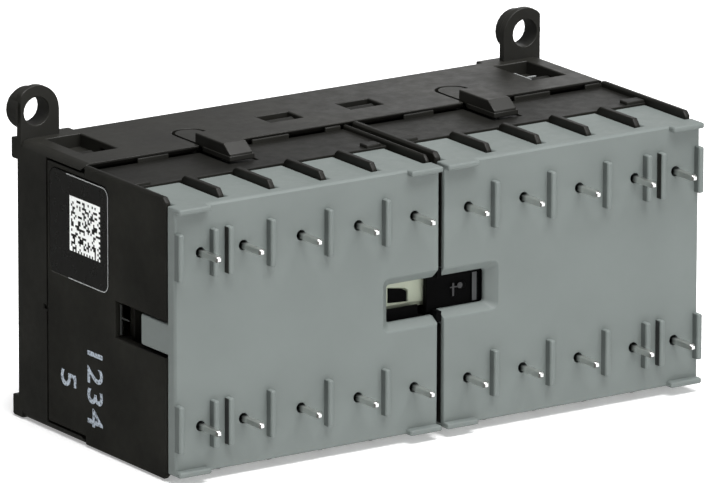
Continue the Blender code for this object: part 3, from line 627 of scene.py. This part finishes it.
def coil_spring(node, body, axis, wire, turns, steps=28, sides=10):
    """A smooth round-wire spring in the space of a coarser CAD coil."""
    low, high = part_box(node)
    centre = (low + high) / 2 / MM
    size = (high - low) / MM
    index = "xyz".index(axis)
    a, b = (i for i in range(3) if i != index)
    radius = max(size[a], size[b]) / 2 - wire
    start, stop = centre[index] - size[index] / 2 + wire, centre[index] + size[index] / 2 - wire
    bm = bmesh.new()
    rings = []
    for i in range(turns * steps + 1):
        share = i / (turns * steps)
        turn = 2 * math.pi * turns * share
        ring = []
        for k in range(sides):
            angle = 2 * math.pi * k / sides
            reach = radius + wire * math.cos(angle)
            along = start + (stop - start) * share + wire * math.sin(angle)
            across, up = centre[a] + reach * math.cos(turn), centre[b] + reach * math.sin(turn)
            ring.append(bm.verts.new(place(axis, across, up, along)))
        rings.append(ring)
    faces = [bm.faces.new(rings[0]), bm.faces.new(rings[-1])]
    for near, far in zip(rings, rings[1:]):
        for k in range(sides):
            j = (k + 1) % sides
            faces.append(bm.faces.new((near[k], near[j], far[j], far[k])))
    bmesh.ops.recalc_face_normals(bm, faces=faces)
    slot = slots[node]
    spring = finish_piece(new_object(node + "_coil", bm), body, materials[slot])
    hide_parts(node)
    return spring, low, high


def make_springs():
    """Springs in place of the CAD coils, on the parts that carry them; only the rail clip's spring is
    weighted to stretch between the clip and the unit.
    """
    for side in SIDES.values():
        spring, _, high = coil_spring(side + "_return_spring", "unit", "y", 0.3, 4)
        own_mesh(spring)
        for number in range(1, 5):
            spring, low, _ = coil_spring(
                f"{side}_contact_spring_{number}", side + "_carrier", "y", 0.14, 3, 20, 8)
            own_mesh(spring)
    spring, low, high = coil_spring("rail_clip_spring", None, "z", 0.15, 6, 20, 8)
    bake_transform(spring, "rail_clip", "unit", (0, low.y, low.z), (0, low.y, high.z))


# ---------------------------------------------------------------- label and marks


def label_corners(inset):
    """Corner arcs of the label, from its bottom left round its right side to its top left."""
    (front, rear), (low, high) = LABEL_Y, LABEL_Z
    radius = LABEL_CORNER
    front, rear = behind(front), behind(rear)
    corners = []
    for y, z, turn_y, turn_z, start in (
            (rear, low, -1, 1, 0), (front, low, 1, 1, 270), (front, high, 1, -1, 180),
            (rear, high, -1, -1, 90)):
        centre = (y + turn_y * radius, z + turn_z * radius)
        corners.append(arc(centre, radius - inset, start, start - 90))
    return corners


def side_label():
    """Black label film with a rounded corner, its light border line and a cell pattern."""
    outline = [point for corner in label_corners(0.0) for point in corner]
    prisms("label_film", "unit", "label_film", "x", [outline], FILM_X, replaced="side_label")
    outer, inner = (
        [(behind(BORDER_BOTTOM_END), LABEL_Z[0] + inset),
         *label_corners(inset)[1], *label_corners(inset)[2],
         (behind(BORDER_TOP_END), LABEL_Z[1] - inset)]
        for inset in BORDER_INSETS)
    lines = [
        [outer[i], outer[i + 1], inner[i + 1], inner[i]] for i in range(len(outer) - 1)]
    prisms("label_border", "unit", "label_film", "x", lines, PRINT_X, "grey_print_and_painted_glint")
    worn_line = box_outline(
        (behind(BORDER_BOTTOM_END), behind(WORN_BORDER_END)),
        (LABEL_Z[0] + BORDER_INSETS[0], LABEL_Z[0] + WORN_BORDER_INSET))
    prisms("label_border_worn", "unit", "label_film", "x", [worn_line], PRINT_X, "print_worn")
    prisms("label_pattern", "unit", "label_film", "x", pattern_cells(), PRINT_X, "print_white")


def pattern_cells():
    """White cells of a square pattern: two solid edges, two dashed ones and random cells."""
    random.seed(7)
    count = PATTERN_CELLS
    step_y = (PATTERN_Y[1] - PATTERN_Y[0]) / count
    step_z = (PATTERN_Z[1] - PATTERN_Z[0]) / count
    cells = []
    for row in range(count):
        for column in range(count):
            solid = column == count - 1 or row == count - 1
            edge = column == 0 or row == 0
            dashed = edge and (row + column) % 2 == 0
            if solid or dashed or (not edge and random.random() < WHITE_SHARE):
                y = behind(PATTERN_Y[0] + column * step_y)
                z = PATTERN_Z[0] + row * step_z
                cells.append(box_outline((y, y + step_y), (z, z + step_z)))
    return cells


def side_digits():
    """Generic digits, printed on the side of the left housing and read from the top down."""
    for name, (text, cap, top, distance) in DIGITS.items():
        curve = bpy.data.curves.new(name, "FONT")
        curve.body = text
        curve.size = cap / CAP_SHARE * MM
        curve.space_character = 1.12
        curve.offset = 0.06 * MM
        curve.extrude = 0.012 * MM
        source = bpy.data.objects.new(name + "_text", curve)
        bpy.context.scene.collection.objects.link(source)
        bpy.context.view_layer.update()
        mesh = bpy.data.meshes.new_from_object(
            source.evaluated_get(bpy.context.evaluated_depsgraph_get()))
        bpy.data.objects.remove(source)
        turn = Matrix(((0, 0, -1), (0, -1, 0), (-1, 0, 0))).to_4x4()
        turn.translation = Vector((INK_X, behind(distance), top)) * MM
        mesh.transform(turn)
        mesh.materials.clear()
        obj = bpy.data.objects.new(name, mesh)
        bpy.context.scene.collection.objects.link(obj)
        finish_piece(obj, "unit", materials["ink"])


# ---------------------------------------------------------------- details in the openings, painted shade and painted highlights


def carrier_stub():
    """The dark stub in the left carrier's pocket."""
    outline = [(-3.25, -1.2), (-3.25, 0.42), (-3.9, 0.82), (-6.45, 1.2), (-6.45, -1.05)]
    front, rear, radius = 4.12, 4.65, 0.15
    bm = bmesh.new()
    add_prism(bm, "y", outline, (behind(front), behind(rear)))
    round_edges(bm, (radius, radius))
    # Its near-black is painted shade deep in the carrier's pocket.
    piece = finish_piece(
        new_object("left_stub", bm), "left_carrier", materials["painted_shade_black"])
    add_rounding(piece)


def gap_painted_shade():
    """Painted shade in the gap between the covers: black sheets on its walls, and plugs where it meets the
    window.
    """
    lining_z = ((-19.2, -4.3), (4.3, 19.0))
    for side, name in SIDES.items():
        x = sorted((side * (HALF_GAP - 0.055), side * (HALF_GAP - 0.01)))
        linings = [box_outline(x, z) for z in lining_z]
        # Painted shade: black sheets over the gap's walls, which would otherwise show lit.
        prisms(name + "_gap_shade_sheet", "unit", "black_plastic", "y", linings,
               (behind(0.62), behind(2.3)))
    plug_x, plug_z = (-0.38, 0.38), ((2.75, 4.1), (-3.9, -2.3))
    prisms("gap_shade_plugs", "unit", "black_plastic", "y", [box_outline(plug_x, z) for z in plug_z],
           (behind(0.5), behind(1.9)), "painted_shade_black")


def window_shade_plate():
    """Painted shade: a near-black plate below the left carrier."""
    shade_plate = box_outline((-9.6, -2.0), (-4.6, -1.55))
    prisms("window_shade_plate", "unit", "black_plastic", "y", [shade_plate], (behind(3.1), behind(3.4)),
           "painted_shade_black")


def side_window_ribs():
    """An upright rib and a crossbar behind the window in the left side."""
    upright = box_outline((behind(15.25), behind(15.0)), (-2.3, 2.2))
    crossbar = box_outline((behind(12.9), behind(14.95)), (0.15, 0.35))
    # Their dark grey, lighter than the black plastic, is painted light on ribs seen in the dark opening.
    prisms("side_window_ribs", "unit", "black_plastic", "x", [upright, crossbar],
           (-45.3, -45.15), "painted_shade_and_light")


def bracket_marks():
    """Painted highlights on the interlock bracket: light marks and a strip on its moulded features."""
    upright_x = (3.5, 3.82)
    cross = [
        box_outline(upright_x, (-0.95, 0.3)), box_outline((3.1, 4.5), (0.31, 0.5)),
        box_outline(upright_x, (0.51, 1.0))]
    dot = arc((4.82, 0.52), 0.46, 0, 330, 11)
    strip = box_outline((6.96, 7.74), (-2.1, 2.15))
    on_bracket = (behind(2.25), behind(2.285))
    prisms("bracket_marks", "unit", "black_plastic", "y", [*cross, dot], on_bracket, "painted_highlight_black")
    prisms("bracket_strip", "unit", "black_plastic", "y", [strip], on_bracket, "painted_highlight_grey")


def top_details():
    """Painted glints as light slivers round the right corner window of the top flange, and a closed wall
    corner.
    """
    for name, x, y, z in (
            ("long", (36.52, 36.72), (30.4, 34.8), (20.85, 20.97)),
            ("short", (37.7, 39.3), (32.9, 33.2), (20.45, 20.6))):
        outline = box_outline(x, sorted(behind(distance) for distance in y))
        prisms("corner_sliver_" + name, "unit", "label_film", "z", [outline], z, "grey_print_and_painted_glint")
    corner = box_outline((44.53, 44.83), (behind(23.8), behind(24.1)))
    prisms("wall_corner", "unit", "black_plastic", "z", [corner], (20.08, 20.5))


def bar_left_faces(end):
    """The x and the lowest and highest z of the left faces of the covers' bars at one end."""
    nearest, furthest = BAR_ZONE
    found = {}
    for side in SIDES.values():
        mesh = frame["nodes"][side + "_front_cover"].data
        for face in mesh.polygons:
            x, y, z = face.center / MM
            on_bar = behind(-0.95) < y < behind(-0.05) and nearest < end * z < furthest
            if on_bar and face.normal.x < -0.99:
                heights = [mesh.vertices[i].co.z / MM for i in face.vertices]
                low, high = found.get(round(x, 2), (math.inf, -math.inf))
                found[round(x, 2)] = (min(low, *heights), max(high, *heights))
    return sorted((x, low, high) for x, (low, high) in found.items())


def bar_painted_shade():
    """Painted shade on the left of each standoff bar, darkest on one bar of each pair."""
    y = (behind(-0.98), behind(0.02))
    inset = 0.1
    # At the top ends the darkest painted shade uses the black plastic itself.
    for end, darkest in ((1, "black_plastic"), (-1, "painted_shade_and_light")):
        dark, shaded = [], []
        for x, low, high in bar_left_faces(end):
            outline = box_outline((x - BAR_SHADE_THICKNESS, x), (low + inset, high - inset))
            off = min(abs(x + BAR_HALF_WIDTH - centre) for centre in DARK_BARS)
            (dark if off < 0.1 else shaded).append(outline)
        name = ENDS[end] + "_bar_painted_shade_"
        prisms(name + "dark", "unit", "black_plastic", "y", dark, y, darkest)
        prisms(name + "shaded", "unit", "black_plastic", "y", shaded, y, "painted_soft_shade")


def pin_tips():
    """Painted highlights: light squares on the ends of the solder pins."""
    half = 0.25
    outlines = []
    for node in frame["nodes"]:
        if "terminal" in node:
            mesh = frame["nodes"][node].data
            foremost = min(vert.co.y for vert in mesh.vertices)
            tip = [vert.co / MM for vert in mesh.vertices if vert.co.y < foremost + 0.05 * MM]
            x, z = (sum(point[i] for point in tip) / len(tip) for i in (0, 2))
            outlines.append(box_outline((x - half, x + half), (z - half, z + half)))
    prisms("pin_tips", "unit", "tinned_metal", "y", outlines, (behind(-5.02), behind(-4.97)),
           "painted_tip_highlight")


def edit_base(bm):
    """Rounder feet, a sharper back plane, and crisp edges where the lugs leave the base."""
    weights = bm.edges.layers.float["bevel_weight_edge"]
    boss_bottom, boss_top = (z * MM for z in BOSS_Z)
    for edge in bm.edges:
        low, high = sorted(edge.verts, key=lambda vert: vert.co.z)
        if edge[weights] > 0 and min(low.co.y, high.co.y) > FOOT_END * MM:
            edge[weights] = room_for_radius(edge) / (MAX_RADIUS * MM)
        if max(abs(low.co.y), abs(high.co.y)) < 0.01 * MM:
            edge[weights] = min(edge[weights], CREASE_WEIGHT)
        upright = high.co.z - low.co.z > 0.9 * edge.calc_length()
        on_flange = abs(low.co.z - FLANGE_TOP * MM) < 0.1 * MM
        lug_root = upright and on_flange and abs(low.co.x) > LUG_X * MM
        beside_boss = abs(low.co.x) > BOSS_X * MM and high.co.z < boss_top
        if lug_root or (beside_boss and (low.co.z + high.co.z) / 2 > boss_bottom):
            edge[weights] = SHOULDER_WEIGHT if low.co.z > LUG_SHOULDER * MM else 0.0


slots = {part["node"]: part["material_slot"] for part in frame["record"]["subparts"]}
materials = make_materials()
# The interlock gets the painted-shade black; the housings get the black with painted shade on their tops.
own_materials = {"interlock": "painted_shade_black", "housing": "housing_black_painted_shade"}
make_camera()
make_studio()

for node in frame["nodes"]:
    if "spring" not in node and node != "side_label":
        own = next((name for word, name in own_materials.items() if word in node), slots[node])
        rounded_node(node, materials[own], edit=edit_base if node == "base" else None)
make_springs()
side_label()
side_digits()
carrier_stub()
gap_painted_shade()
window_shade_plate()
side_window_ribs()
bracket_marks()
top_details()
bar_painted_shade()
pin_tips()
